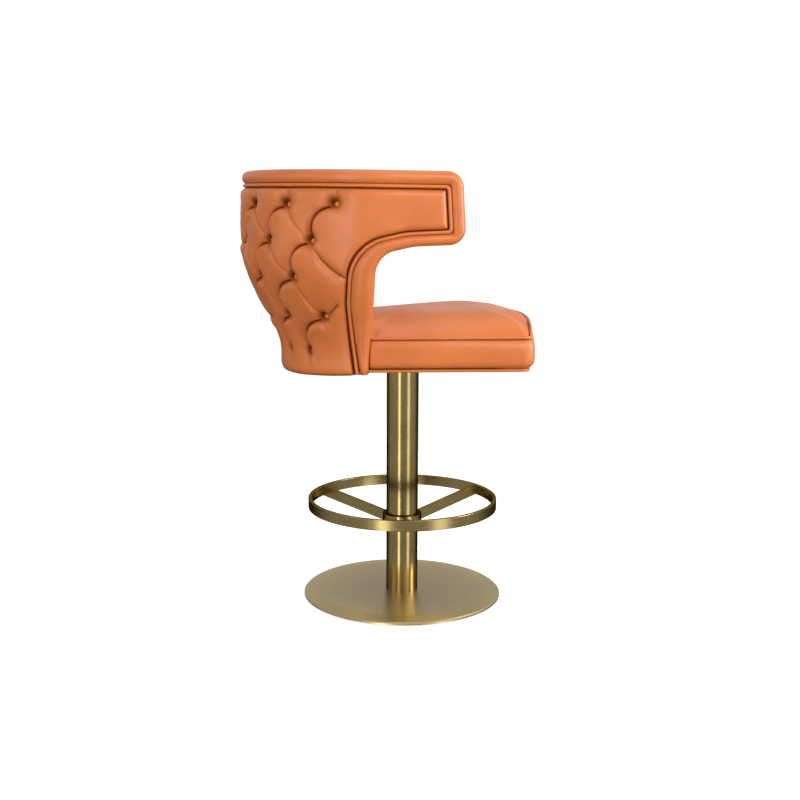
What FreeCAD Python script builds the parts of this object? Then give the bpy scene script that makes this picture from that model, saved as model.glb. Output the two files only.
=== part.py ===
import FreeCAD, Part
import math
import os

# Swivel bar stool with a tufted barrel back, a fixed foot ring and a round base.
# Units are millimetres. +Z is up, the sitter faces -Y, and the origin is on the floor
# under the centre of the column.

V = FreeCAD.Vector
UP = V(0, 0, 1)
CENTRE = V(0, 0, 0)

# ---------------------------------------------------------------- driving dimensions
# round base
base_radius = 225.0
pad_thickness = 2.0
pad_radius = 218.0
cover_skin = 1.5
cover_edge_height = 6.5
cover_slope_radius = 192.0
cover_top = 11.0
ballast_radius = 222.5
ballast_edge_height = 4.0
ballast_play = 0.2
base_screw_circle = 21.0
base_screw_radius = 4.0
base_screw_head_radius = 7.5

# column
column_radius = 36.0
column_wall = 2.5
column_top = 552.0
foot_plug_height = 24.0

# foot ring
ring_radius = 214.5
ring_thickness = 8.0
ring_height = 24.0
ring_top = 229.0
hub_radius = 44.5
hub_top = 190.0
hub_height = 26.0
hub_clearance = 0.1
spoke_width = 8.0
spoke_count = 3
spoke_first_angle = 53.5
set_screw_radius = 3.0

# swivel in the head of the column
spindle_radius = 15.0
running_clearance = 0.05
bush_radius = 19.0
bush_length = 26.0
bush_flange_radius = 26.0
bush_flange = 3.0
housing_length = 100.0
housing_flange = 4.0
thrust_thickness = 2.0
thrust_gap = 0.1
spindle_flange_radius = 34.0
spindle_flange = 5.9
spindle_washer_thickness = 2.5
clip_thickness = 2.0
clip_radius = 19.0
clip_groove_radius = 13.5
plate_side = 180.0
plate_thickness = 6.0
plate_corner = 12.0
mount_spacing = 140.0
mount_bolt_radius = 4.0
mount_head_radius = 7.5
mount_head_height = 5.3
tee_barrel_radius = 5.5
tee_barrel_length = 10.0
tee_flange_radius = 11.0
tee_flange = 1.5

# seat frame, from the fabric cover underneath to the board
dust_cover_z = 544.5
dust_cover_thickness = 1.0
dust_cover_hole = 60.0
rail_width = 26.0
rail_front_y = -190.0
rail_rear_y = 78.0
board_thickness = 16.0
board_top_room = 2.0

# seat cushion
seat_front_half = 225.0
seat_rear_half = 189.0
seat_front_y = -238.0
seat_front_bulge = 29.0
seat_corner_radius = 18.0
seat_step_y = 103.0
seat_well_radius = 161.0
seat_skirt = 13.0
seat_bottom = 545.5
seat_seam_z = 617.0
seat_front_rise = 28.0
seat_crown = 664.0
welt_radius = 4.5
welt_inset = 2.0
seat_panel_inset = 7.4
dust_cover_inset = 10.0

# barrel back: plan arc at the top and at the foot, joined by a smooth waist
top_arc_radius = 286.0
top_arc_centre = 67.0
foot_arc_radius = 212.0
foot_arc_centre = 56.0
waist_top = 790.0
waist_bottom = 560.0
waist_steps = 8
back_top = 950.0
back_top_rise = 0.0152
back_bottom = 539.5
back_bottom_fall = 0.073
strut_foot = 110.0
arm_front = -71.0
arm_rake = 0.0625

# layers of the back, as depths below its outer face
outer_pad_depth = 18.0
shell_depth = 30.0
back_depth = 50.0
layer_gap = 0.1
pad_puff = 3.0
roll_set_back = 2.0
welt_stand = 1.0
shell_edge_inset = 14.0
inner_pad_bottom = 592.0
back_bolt_z = 562.0
back_bolt_radius = 4.0
back_bolt_head_radius = 7.0
back_bolt_head = 4.5
back_bolt_angles = (-60.0, -30.0, 0.0, 30.0, 60.0)

# tufting: buttons stand in rows, at steps of angle from the middle of the back
button_step = 22.5
button_rows = (
    (886.0, (-2.96, -1.96, -0.98, 0, 0.98, 1.96, 2.96)),
    (814.0, (-2.49, -1.48, -0.49, 0.49, 1.48, 2.49)),
    (737.0, (-2.02, -1, 0, 1, 2.02)),
    (655.0, (-2.46, -1.4, -0.46, 0.46, 1.4, 2.46)),
    (581.0, (-1.75, -0.9, 0, 0.9, 1.75)),
)
button_radius = 8.0
button_dome_radius = 11.0
button_height = 4.0
button_sink = 10.0

# ---------------------------------------------------------------- heights worked out
ballast_bottom = pad_thickness
ballast_shoulder = ballast_bottom + ballast_edge_height
ballast_top = cover_top - cover_skin - ballast_play
ring_bottom = ring_top - ring_height
hub_bottom = hub_top - hub_height
bore_radius = column_radius - column_wall
housing_top = column_top + housing_flange
housing_bottom = column_top - housing_length
upper_bush_top = housing_top + bush_flange
lower_bush_bottom = housing_bottom - bush_flange
thrust_top = upper_bush_top + thrust_thickness
spindle_shoulder = thrust_top + thrust_gap
plate_bottom = spindle_shoulder + spindle_flange
plate_top = plate_bottom + plate_thickness
board_bottom = plate_top
board_top = board_bottom + board_thickness
rail_bottom = dust_cover_z + dust_cover_thickness
pocket_top = board_top + board_top_room
shell_inside = foot_arc_radius - shell_depth


# ---------------------------------------------------------------- helpers
def cylinder(radius, low, high, x=0.0, y=0.0):
    return Part.makeCylinder(radius, high - low, V(x, y, low))


def tube(outer, inner, low, high):
    return cylinder(outer, low, high).cut(cylinder(inner, low - 1, high + 1))


def polygon(points):
    return Part.makePolygon(points + [points[0]])


def turned(profile):
    """Solid turned about Z from (radius, height) points."""
    wire = polygon([V(radius, 0, height) for radius, height in profile])
    return Part.Face(wire).revolve(CENTRE, UP, 360)


def line(a, b):
    return Part.makeLine(a, b)


def arc(a, middle, b):
    return Part.Arc(a, middle, b).toShape()


def rounded_wire(corners):
    """Closed wire in the YZ plane from (y, z, corner radius) values."""
    count = len(corners)
    ends = []
    for index, (y, z, radius) in enumerate(corners):
        here = V(0, y, z)
        before = V(0, *corners[index - 1][:2])
        after = V(0, *corners[(index + 1) % count][:2])
        to_before = (before - here).normalize()
        to_after = (after - here).normalize()
        half = to_before.getAngle(to_after) / 2
        reach = radius / math.tan(half)
        bisector = (to_before + to_after).normalize()
        middle = here + bisector * (radius / math.sin(half) - radius)
        ends.append((here + to_before * reach, middle, here + to_after * reach, radius))
    edges = []
    for index, (start, middle, end, radius) in enumerate(ends):
        if radius > 0:
            edges.append(arc(start, middle, end))
        edges.append(line(end, ends[(index + 1) % count][0]))
    return Part.Wire(edges)


def smooth(t):
    t = min(max(t, 0.0), 1.0)
    return t * t * (3 - 2 * t)


def barrel(z):
    """Outer radius and centre of the back's plan arc at one height."""
    waist = smooth((waist_top - z) / (waist_top - waist_bottom))
    radius = top_arc_radius + waist * (foot_arc_radius - top_arc_radius)
    centre = top_arc_centre + waist * (foot_arc_centre - top_arc_centre)
    return radius, centre


def barrel_point(angle, z, depth):
    """Point on the back, by its angle from the middle of the back, height and depth."""
    radius, centre = barrel(z)
    turn = math.radians(angle)
    reach = radius - depth
    return V(-reach * math.sin(turn), centre + reach * math.cos(turn), z)


def u_section(z, outside, inside):
    """Closed U-shaped section of one layer of the back."""
    radius, centre = barrel(z)
    front = arm_front - 20
    outer, inner = radius - outside, radius - inside
    return Part.Wire([
        line(V(-outer, front, z), V(-outer, centre, z)),
        arc(V(-outer, centre, z), V(0, centre + outer, z), V(outer, centre, z)),
        line(V(outer, centre, z), V(outer, front, z)),
        line(V(outer, front, z), V(inner, front, z)),
        line(V(inner, front, z), V(inner, centre, z)),
        arc(V(inner, centre, z), V(0, centre + inner, z), V(-inner, centre, z)),
        line(V(-inner, centre, z), V(-inner, front, z)),
        line(V(-inner, front, z), V(-outer, front, z)),
    ])


def layer(outside, inside):
    """One layer of the barrel, full height, between two depths below the outer face."""
    levels = [back_bottom - 40]
    step = (waist_top - waist_bottom) / waist_steps
    levels += [waist_bottom + step * index for index in range(waist_steps + 1)]
    levels.append(back_top + 15)
    return Part.makeLoft([u_section(z, outside, inside) for z in levels], True, True)


def side_prism(corners, offset=0.0):
    """Solid across the whole stool from an outline seen from the side."""
    wire = rounded_wire(corners)
    if offset:
        wire = wire.makeOffset2D(-offset)
    width = 2 * top_arc_radius + 80
    face = Part.Face(wire)
    face.translate(V(-width / 2, 0, 0))
    return face.extrude(V(width, 0, 0))


def side_outline(inset, under, belly, knee, strut_bend, foot, corner_radius):
    """Side view of the back: arm in front, knee under the arm, strut down to the seat.

    inset is the distance in from the top and front edges. under is the height of the
    arm's underside at its front, belly and knee are (y, z, radius) corners of the curve
    below the arm, strut_bend is a (y, z) point, and foot is the strut's y at the bottom.
    The outline runs on past the rear, where the layers end.
    """
    rear = 440.0
    front_top = arm_front + inset
    top = back_top - inset
    front_under = front_top - arm_rake * (top - under)
    return [
        (rear, back_bottom - back_bottom_fall * (rear - strut_foot), 0.0),
        (foot, back_bottom - back_bottom_fall * (foot - strut_foot), 0.0),
        (strut_bend[0], strut_bend[1], 130.0),
        knee,
        belly,
        (front_under, under, corner_radius),
        (front_top, top, corner_radius),
        (rear, top + back_top_rise * (rear - front_top), 0.0),
    ]


edge_outline = side_outline(0.0, 807.5, (25.0, 804.0, 150.0), (104.5, 787.0, 50.0),
                            (104.0, 690.0), strut_foot, 33.0)
seam_outline = side_outline(25.0, 828.0, (40.0, 824.5, 170.0), (150.0, 802.0, 84.0),
                            (150.0, 690.0), 124.0, 5.0)
field_outline = side_outline(35.0, 837.0, (46.0, 833.5, 175.0), (160.0, 808.0, 84.0),
                             (160.0, 690.0), 138.0, 2.0)


def seat_corner(front_half, rear_half, front, step):
    """Points of the seat's right-hand flank and its front corner, seen in plan.

    The corner's arc is tangent to the straight flank and to the bowed front.
    """
    chord = front_half - seat_corner_radius
    bow_radius = (chord ** 2 + seat_front_bulge ** 2) / (2 * seat_front_bulge)
    bow_centre = V(0, front - seat_front_bulge + bow_radius, 0)
    rear = V(-rear_half, step, 0)
    along = (V(-front_half, front, 0) - rear).normalize()
    inwards = V(-along.y, along.x, 0)
    start = rear + inwards * seat_corner_radius - bow_centre
    reach = start.dot(along)
    spare = start.Length ** 2 - (bow_radius - seat_corner_radius) ** 2
    centre = bow_centre + start + along * (math.sqrt(reach ** 2 - spare) - reach)
    outwards = (centre - bow_centre).normalize()
    return {
        "rear": rear,
        "flank": centre - inwards * seat_corner_radius,
        "nick": centre + (outwards - inwards).normalize() * seat_corner_radius,
        "nose": centre + outwards * seat_corner_radius,
    }


def seat_wire(inset, side_z, front_z, well, step=seat_step_y):
    """Seat outline with its front edge bowed forward, and up by front_z - side_z.

    step is the y of the two square ends that butt against the back's struts.
    """
    front = seat_front_y + inset
    neck = math.sqrt(well ** 2 - (step - foot_arc_centre) ** 2)
    plan = seat_corner(seat_front_half - inset, seat_rear_half - inset, front, step)
    plan["neck"] = V(-neck, step, 0)
    bow = V(0, front - seat_front_bulge, front_z)
    half = []
    for side in (1, -1):
        half.append({name: V(side * point.x, point.y, side_z)
                     for name, point in plan.items()})
    right, left = half
    rear_middle = V(0, foot_arc_centre + well, side_z)
    front_edges = [
        line(right["rear"], right["flank"]),
        arc(right["flank"], right["nick"], right["nose"]),
        arc(right["nose"], bow, left["nose"]),
        arc(left["nose"], left["nick"], left["flank"]),
        line(left["flank"], left["rear"]),
    ]
    rear_edges = [
        line(left["rear"], left["neck"]),
        arc(left["neck"], rear_middle, right["neck"]),
        line(right["neck"], right["rear"]),
    ]
    return front_edges, rear_edges


def seat_slab(inset, low, high, well):
    front_edges, rear_edges = seat_wire(inset, low, low, well, seat_step_y - inset)
    return Part.Face(Part.Wire(front_edges + rear_edges)).extrude(V(0, 0, high - low))


def seat_welt(z, front_z):
    """Piping round the front and sides of the seat: tubes along its lines and arcs."""
    front_edges, _ = seat_wire(welt_inset, z, front_z, seat_well_radius)
    pieces = []
    for edge in front_edges:
        start = edge.valueAt(edge.FirstParameter)
        section = Part.Wire(Part.makeCircle(welt_radius, start,
                                            edge.tangentAt(edge.FirstParameter)))
        pieces.append(Part.Wire(edge).makePipeShell([section], True, False))
    bow = front_edges[2]
    if front_z > z:
        for parameter in (bow.FirstParameter, bow.LastParameter):
            pieces.append(Part.makeSphere(welt_radius, bow.valueAt(parameter)))
    return pieces[0].multiFuse(pieces[1:]).removeSplitter()


def spokes_turned(shape, index):
    turned_shape = shape.copy()
    angle = spoke_first_angle + index * 360.0 / spoke_count
    turned_shape.rotate(CENTRE, UP, angle)
    return turned_shape


def inward(angle, z):
    """Direction into the back, square to its outer face."""
    up = barrel_point(angle, z + 1, 0) - barrel_point(angle, z - 1, 0)
    along = barrel_point(angle + 1, z, 0) - barrel_point(angle - 1, z, 0)
    return up.cross(along).normalize()


def radial_cylinder(angle, z, depth_out, depth_in, radius):
    """Cylinder square to the back's outer face, between two depths below it."""
    axis = inward(angle, z)
    start = barrel_point(angle, z, 0) + axis * depth_out
    return Part.makeCylinder(radius, depth_in - depth_out, start, axis)


# ---------------------------------------------------------------- base and column
def make_floor_pad():
    return cylinder(pad_radius, 0.0, pad_thickness)


def make_base_screws():
    screws = []
    for quarter in range(4):
        turn = math.radians(45 + 90 * quarter)
        x = base_screw_circle * math.cos(turn)
        y = base_screw_circle * math.sin(turn)
        cone_height = base_screw_head_radius - base_screw_radius
        head = Part.makeCone(base_screw_head_radius, base_screw_radius, cone_height,
                             V(x, y, ballast_bottom))
        shank = cylinder(base_screw_radius, ballast_bottom + cone_height,
                         ballast_top + 14, x, y)
        screws.append(head.fuse(shank).removeSplitter())
    return screws


def make_ballast_plate(screws):
    plate = turned([(0, ballast_bottom), (ballast_radius, ballast_bottom),
                    (ballast_radius, ballast_shoulder), (cover_slope_radius, ballast_top),
                    (0, ballast_top)])
    return plate.cut(Part.makeCompound(screws))


def make_base_cover():
    """Spun cover: a rounded rim, a gentle slope and a flat top, over the ballast."""
    rim_inside = base_radius - cover_skin
    hole = column_radius + hub_clearance
    low = pad_thickness
    outer = [(hole, cover_top), (cover_slope_radius, cover_top),
             (base_radius - 3.0, cover_edge_height + 1.6), (base_radius, cover_edge_height - 1.0),
             (base_radius, low)]
    inner = [(rim_inside, low), (rim_inside, ballast_shoulder + ballast_play),
             (cover_slope_radius, cover_top - cover_skin), (hole, cover_top - cover_skin)]
    return turned(outer + inner)


def make_column_tube():
    return tube(column_radius, bore_radius, ballast_top, column_top)


def make_foot_plug(screws):
    plug = cylinder(bore_radius, ballast_top, ballast_top + foot_plug_height)
    return plug.cut(Part.makeCompound(screws))


# ---------------------------------------------------------------- foot ring
def make_ring():
    ring = tube(ring_radius, ring_radius - ring_thickness, ring_bottom, ring_top)
    rims = [edge for edge in ring.Edges if edge.Closed]
    return ring.makeFillet(1.2, rims)


def make_spoke(index):
    """Flat bar that drops from the ring to the hub, its ends curved to fit both."""
    start, end = hub_radius - 4, ring_radius
    drop = ring_top - hub_top
    run = ring_radius - ring_thickness - hub_radius
    fall = drop / run
    low, high = -fall * 4, drop + fall * ring_thickness
    profile = polygon([
        V(start, 0, hub_top + low), V(end, 0, hub_top + high),
        V(end, 0, ring_bottom + fall * ring_thickness), V(start, 0, hub_top + low - ring_height),
    ])
    bar = Part.Face(profile).extrude(V(0, spoke_width, 0))
    bar.translate(V(0, -spoke_width / 2, 0))
    room = tube(ring_radius - ring_thickness, hub_radius, hub_bottom - 20, ring_top + 20)
    return spokes_turned(bar.common(room), index)


def make_set_screws():
    screws = []
    for index in range(spoke_count):
        screw = Part.makeCylinder(set_screw_radius, hub_radius - column_radius - hub_clearance,
                                  V(column_radius + hub_clearance, 0, hub_top - hub_height / 2),
                                  V(1, 0, 0))
        screw.rotate(CENTRE, UP, 60)
        screws.append(spokes_turned(screw, index))
    return screws


def make_hub(screws):
    hub = tube(hub_radius, column_radius + hub_clearance, hub_bottom, hub_top)
    return hub.cut(Part.makeCompound(screws))


# ---------------------------------------------------------------- swivel
def make_bearing_housing():
    body = cylinder(bore_radius, housing_bottom, column_top)
    flange = cylinder(column_radius, column_top, housing_top)
    bore = cylinder(bush_radius, housing_bottom - 1, housing_top + 1)
    return body.fuse(flange).cut(bore).removeSplitter()


def make_bush(flange_low, flange_high, sleeve_low, sleeve_high):
    flange = cylinder(bush_flange_radius, flange_low, flange_high)
    sleeve = cylinder(bush_radius, sleeve_low, sleeve_high)
    low, high = min(flange_low, sleeve_low), max(flange_high, sleeve_high)
    bore = cylinder(spindle_radius + running_clearance, low - 1, high + 1)
    return flange.fuse(sleeve).cut(bore).removeSplitter()


def make_thrust_washer():
    return tube(bush_flange_radius + 1, spindle_radius + running_clearance,
                upper_bush_top, thrust_top)


clip_top = lower_bush_bottom - thrust_gap - spindle_washer_thickness
clip_bottom = clip_top - clip_thickness
spindle_bottom = clip_bottom - 8.0


def make_spindle():
    shaft = cylinder(spindle_radius, spindle_bottom, spindle_shoulder)
    groove = tube(spindle_radius + 1, clip_groove_radius, clip_bottom, clip_top)
    flange = cylinder(spindle_flange_radius, spindle_shoulder, plate_bottom)
    return shaft.cut(groove).fuse(flange).removeSplitter()


def make_spindle_washer():
    return tube(clip_radius + 4, spindle_radius + running_clearance,
                clip_top, clip_top + spindle_washer_thickness)


def make_retaining_ring():
    ring = tube(clip_radius, clip_groove_radius, clip_bottom, clip_top)
    mouth = Part.makeBox(clip_radius + 5, 9, clip_thickness + 2,
                         V(0, -4.5, clip_bottom - 1))
    return ring.cut(mouth)


def mount_places():
    reach = mount_spacing / 2
    return [(x, y) for x in (-reach, reach) for y in (-reach, reach)]


def make_mount_bolts():
    bolts = []
    for x, y in mount_places():
        corners = []
        for corner in range(6):
            turn = math.radians(60 * corner)
            corners.append(V(x + mount_head_radius * math.cos(turn),
                             y + mount_head_radius * math.sin(turn),
                             plate_bottom - mount_head_height))
        head = Part.Face(polygon(corners)).extrude(V(0, 0, mount_head_height))
        shank = cylinder(mount_bolt_radius, plate_bottom, board_top, x, y)
        bolts.append(head.fuse(shank).removeSplitter())
    return bolts


def make_tee_nuts(bolts):
    nuts = []
    for x, y in mount_places():
        barrel_part = cylinder(tee_barrel_radius, board_top - tee_barrel_length, board_top, x, y)
        flange = cylinder(tee_flange_radius, board_top, board_top + tee_flange, x, y)
        nut = barrel_part.fuse(flange).removeSplitter()
        nuts.append(nut.cut(Part.makeCompound(bolts)))
    return nuts


def make_swivel_plate(bolts):
    half = plate_side / 2
    plate = Part.makeBox(plate_side, plate_side, plate_thickness, V(-half, -half, plate_bottom))
    uprights = [edge for edge in plate.Edges
                if abs(edge.firstVertex().Z - edge.lastVertex().Z) > plate_thickness / 2]
    return plate.makeFillet(plate_corner, uprights).cut(Part.makeCompound(bolts))


# ---------------------------------------------------------------- seat
def make_seat_board(fixings):
    board = seat_slab(seat_skirt, board_bottom, board_top, shell_inside)
    return board.cut(Part.makeCompound(fixings))


def make_rails(back_bolts):
    """Four hardwood rails round the underside of the board, butted at their ends."""
    ring = seat_slab(seat_skirt, rail_bottom, board_bottom, shell_inside)
    inner = seat_slab(seat_skirt + rail_width, rail_bottom, board_bottom,
                      shell_inside - rail_width)
    ring = ring.cut(inner).cut(Part.makeCompound(back_bolts))
    wide = 2 * seat_front_half
    height = board_bottom - rail_bottom

    def block(x, y, width, depth):
        return Part.makeBox(width, depth, height, V(x, y, rail_bottom))

    middle = rail_rear_y - rail_front_y
    return {
        "seat_rail_front": ring.common(block(-wide, rail_front_y - wide, 2 * wide, wide)),
        "seat_rail_right": ring.common(block(-wide, rail_front_y, wide, middle)),
        "seat_rail_left": ring.common(block(0, rail_front_y, wide, middle)),
        "seat_rail_rear": ring.common(block(-wide, rail_rear_y, 2 * wide, wide)),
    }


def make_dust_cover():
    sheet = seat_slab(dust_cover_inset, dust_cover_z, dust_cover_z + dust_cover_thickness,
                      seat_well_radius)
    return sheet.cut(cylinder(dust_cover_hole, dust_cover_z - 1, dust_cover_z + 5))


def make_seat_cushion():
    """Crowned cushion whose leather skirt hangs over the board and the rails."""
    side, front = seat_seam_z, seat_seam_z + seat_front_rise
    steps = (
        (seat_panel_inset, seat_bottom, seat_bottom, seat_well_radius),
        (seat_panel_inset, side, front, seat_well_radius + 3),
        (18.0, side + 20, front + 8, seat_well_radius + 9),
        (42.0, seat_crown - 11, seat_crown - 5, seat_well_radius),
        (85.0, seat_crown - 5, seat_crown - 1, seat_well_radius - 45),
        (110.0, seat_crown, seat_crown, seat_well_radius - 70),
    )
    sections = []
    for inset, side_z, front_z, well in steps:
        front_edges, rear_edges = seat_wire(inset, side_z, front_z, well)
        sections.append(Part.Wire(front_edges + rear_edges))
    cushion = Part.makeLoft(sections, True, True)
    pocket = seat_slab(seat_skirt, seat_bottom - 1, pocket_top, shell_inside)
    return cushion.cut(pocket)


# ---------------------------------------------------------------- back
def make_buttons():
    """Leather-covered tufting buttons, each a shallow dome set into the outer pad."""
    buttons = []
    for z, places in button_rows:
        for place in places:
            angle = place * button_step
            back = button_sink + button_height
            dome_reach = inward(angle, z) * (button_sink + button_dome_radius)
            dome_centre = barrel_point(angle, z, 0) + dome_reach
            dome = Part.makeSphere(button_dome_radius, dome_centre)
            disc = radial_cylinder(angle, z, button_sink - 1, back, button_radius)
            buttons.append(disc.common(dome))
    return buttons


def make_button_pockets():
    pockets = []
    for z, places in button_rows:
        for place in places:
            pockets.append(radial_cylinder(place * button_step, z, -8.0,
                                           button_sink + button_height, button_radius))
    return pockets


def make_back_bolts():
    """Hex-socket bolts that hold the bent shell to the rear rail."""
    bolts = []
    for angle in back_bolt_angles:
        shank = radial_cylinder(angle, back_bolt_z, outer_pad_depth,
                                shell_depth + rail_width - 4, back_bolt_radius)
        head = radial_cylinder(angle, back_bolt_z, outer_pad_depth - back_bolt_head,
                               outer_pad_depth, back_bolt_head_radius)
        bolts.append(shank.fuse(head).removeSplitter())
    return bolts


def make_back(buttons, bolts):
    edge = side_prism(edge_outline)
    seam = side_prism(seam_outline)
    field = side_prism(field_outline)
    welt_band = seam.cut(field)
    fixings = Part.makeCompound(bolts)

    shell = layer(outer_pad_depth, shell_depth).common(side_prism(edge_outline, shell_edge_inset))
    shell = shell.cut(fixings)
    roll = layer(roll_set_back, back_depth).common(edge).cut(seam).cut(shell)
    roll = roll.cut(cylinder(shell_inside + layer_gap, back_bottom - 40, inner_pad_bottom,
                             0.0, foot_arc_centre))

    outer_welt = layer(-welt_stand, 2 * welt_radius - welt_stand).common(welt_band)
    outer_pad = layer(-pad_puff, outer_pad_depth - layer_gap).common(seam).cut(outer_welt)
    outer_pad = outer_pad.cut(fixings).cut(Part.makeCompound(make_button_pockets()))

    above_board = Part.makeBox(800, 800, 500, V(-400, -300, inner_pad_bottom))
    inner_welt = layer(back_depth - 2 * welt_radius + welt_stand,
                       back_depth + welt_stand).common(welt_band)
    inner_welt = inner_welt.common(above_board)
    inner_pad = layer(shell_depth + layer_gap, back_depth).common(seam).common(above_board)
    inner_pad = inner_pad.cut(inner_welt)
    return {
        "back_shell": shell,
        "back_border_roll": roll,
        "back_outer_pad": outer_pad,
        "back_outer_welt": outer_welt,
        "back_inner_pad": inner_pad,
        "back_inner_welt": inner_welt,
        "tufting_buttons": Part.makeCompound(buttons),
        "back_bolts": fixings,
    }


# ---------------------------------------------------------------- whole stool
def build():
    nodes = {}
    base_screws = make_base_screws()
    nodes["floor_pad"] = make_floor_pad()
    nodes["ballast_plate"] = make_ballast_plate(base_screws)
    nodes["base_cover"] = make_base_cover()
    nodes["base_screws"] = Part.makeCompound(base_screws)
    nodes["column_tube"] = make_column_tube()
    nodes["column_foot_plug"] = make_foot_plug(base_screws)

    set_screws = make_set_screws()
    nodes["footrest_ring"] = make_ring()
    for index in range(spoke_count):
        nodes["footrest_spoke_%d" % (index + 1)] = make_spoke(index)
    nodes["footrest_hub"] = make_hub(set_screws)
    nodes["footrest_set_screws"] = Part.makeCompound(set_screws)

    nodes["bearing_housing"] = make_bearing_housing()
    nodes["upper_bush"] = make_bush(housing_top, upper_bush_top,
                                    housing_top - bush_length, housing_top)
    nodes["lower_bush"] = make_bush(lower_bush_bottom, housing_bottom,
                                    housing_bottom, housing_bottom + bush_length)
    nodes["thrust_washer"] = make_thrust_washer()
    nodes["swivel_spindle"] = make_spindle()
    nodes["spindle_washer"] = make_spindle_washer()
    nodes["retaining_ring"] = make_retaining_ring()

    mount_bolts = make_mount_bolts()
    tee_nuts = make_tee_nuts(mount_bolts)
    nodes["swivel_plate"] = make_swivel_plate(mount_bolts)
    nodes["mount_bolts"] = Part.makeCompound(mount_bolts)
    nodes["tee_nuts"] = Part.makeCompound(tee_nuts)
    nodes["seat_board"] = make_seat_board(mount_bolts + tee_nuts)

    back_bolts = make_back_bolts()
    nodes.update(make_rails(back_bolts))
    nodes["dust_cover"] = make_dust_cover()
    top_welt = seat_welt(seat_seam_z - welt_radius, seat_seam_z + seat_front_rise - welt_radius)
    bottom_welt = seat_welt(seat_bottom, seat_bottom)
    nodes["seat_cushion"] = make_seat_cushion()
    nodes["seat_top_welt"] = top_welt
    nodes["seat_bottom_welt"] = bottom_welt
    nodes.update(make_back(make_buttons(), back_bolts))
    return nodes


os.makedirs("parts", exist_ok=True)
for name, shape in build().items():
    print("%-22s solids %2d  valid %s  volume %.1f cm3"
          % (name, len(shape.Solids), shape.isValid(), shape.Volume / 1000))
    shape.exportStep("parts/%s.step" % name)
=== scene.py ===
import math
from collections import namedtuple

import bmesh
import bpy
import numpy as np
from numpy.linalg import norm
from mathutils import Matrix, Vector, noise
from mathutils.geometry import delaunay_2d_cdt


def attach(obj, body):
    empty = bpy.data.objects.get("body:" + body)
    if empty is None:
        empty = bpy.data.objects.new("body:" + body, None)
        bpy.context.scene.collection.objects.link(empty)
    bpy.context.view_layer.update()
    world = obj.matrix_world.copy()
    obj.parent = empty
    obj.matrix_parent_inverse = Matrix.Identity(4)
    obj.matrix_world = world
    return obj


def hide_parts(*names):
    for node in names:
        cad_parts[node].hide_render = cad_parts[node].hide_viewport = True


# Swivel bar stool with a tufted leather barrel back. Metres, +Z up, the sitter faces -Y.
# The brass, steel, wood and rubber parts are the CAD nodes with materials; the leather
# parts, the dust cover and the buttons are built here in the places of their CAD solids.

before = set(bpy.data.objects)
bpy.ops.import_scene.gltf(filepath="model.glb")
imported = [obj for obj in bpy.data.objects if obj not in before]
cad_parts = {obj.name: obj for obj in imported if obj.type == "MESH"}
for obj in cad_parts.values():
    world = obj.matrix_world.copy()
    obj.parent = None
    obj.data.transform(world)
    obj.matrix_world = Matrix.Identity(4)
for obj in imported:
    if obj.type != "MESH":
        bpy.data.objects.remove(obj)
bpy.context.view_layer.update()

# ---------------------------------------------------------------- the barrel of the back
TOP_RADIUS, TOP_CENTRE = 0.286, 0.067
FOOT_RADIUS, FOOT_CENTRE = 0.212, 0.056
WAIST_TOP, WAIST_FOOT = 0.790, 0.560
BACK_TOP, BACK_TOP_RISE = 0.9505, 0.0152
BACK_FOOT, BACK_FOOT_FALL = 0.5395, 0.073
STRUT_FOOT = 0.110
ARM_FRONT, ARM_RAKE = -0.0715, 0.0625
BACK_DEPTH = 0.050
MID_DEPTH = BACK_DEPTH / 2
QUARTER = TOP_RADIUS * math.pi / 2      # from the middle of the back to where an arm starts
INNER_PAD_FOOT = 0.592

BUTTON_STEP = math.radians(22.5) * TOP_RADIUS
BUTTON_ROWS = (
    (0.886, (-2.96, -1.96, -0.98, 0, 0.98, 1.96, 2.96)),
    (0.814, (-2.49, -1.48, -0.49, 0.49, 1.48, 2.49)),
    (0.737, (-2.02, -1, 0, 1, 2.02)),
    (0.655, (-2.46, -1.4, -0.46, 0.46, 1.4, 2.46)),
    (0.581, (-1.75, -0.9, 0, 0.9, 1.75)),
)

WELT_RADIUS = 0.0036
WELT_DEPTH = 0.0066
ROLL_DEPTH = 0.0015                     # from the nominal outer face to the roll's crest


def smooth(t):
    t = np.clip(t, 0.0, 1.0)
    return t * t * (3 - 2 * t)


def unit(vectors):
    """One vector, or each row of several, at length 1."""
    return vectors / norm(vectors, axis=-1, keepdims=True)


def barrel(z):
    waist = smooth((WAIST_TOP - z) / (WAIST_TOP - WAIST_FOOT))
    radius = TOP_RADIUS + waist * (FOOT_RADIUS - TOP_RADIUS)
    centre = TOP_CENTRE + waist * (FOOT_CENTRE - TOP_CENTRE)
    return radius, centre


def back_points(around, z, depth):
    """Points of the back from the way round it, the height, and the depth below its outer face.

    around is 0 at the middle of the back, grows towards the sitter's right (-X), and is
    measured along the top's plan: QUARTER is where the arm leaves the arc.
    """
    around, z, depth = np.broadcast_arrays(around, z, depth)
    radius, centre = barrel(z)
    reach = radius - depth
    side = np.sign(around)
    angle = np.minimum(np.abs(around), QUARTER) / TOP_RADIUS
    forward = np.maximum(np.abs(around) - QUARTER, 0.0)
    x = -side * reach * np.sin(angle)
    y = centre + reach * np.cos(angle) - forward
    return np.stack([x, y, z], -1)


def back_normals(around, z):
    """Outward normals of the back's outer face."""
    step = 1e-4
    here = back_points(around, z, 0.0)
    along = back_points(around + step, z, 0.0) - here
    up = back_points(around, z + step, 0.0) - here
    return unit(np.cross(along, up))


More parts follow.
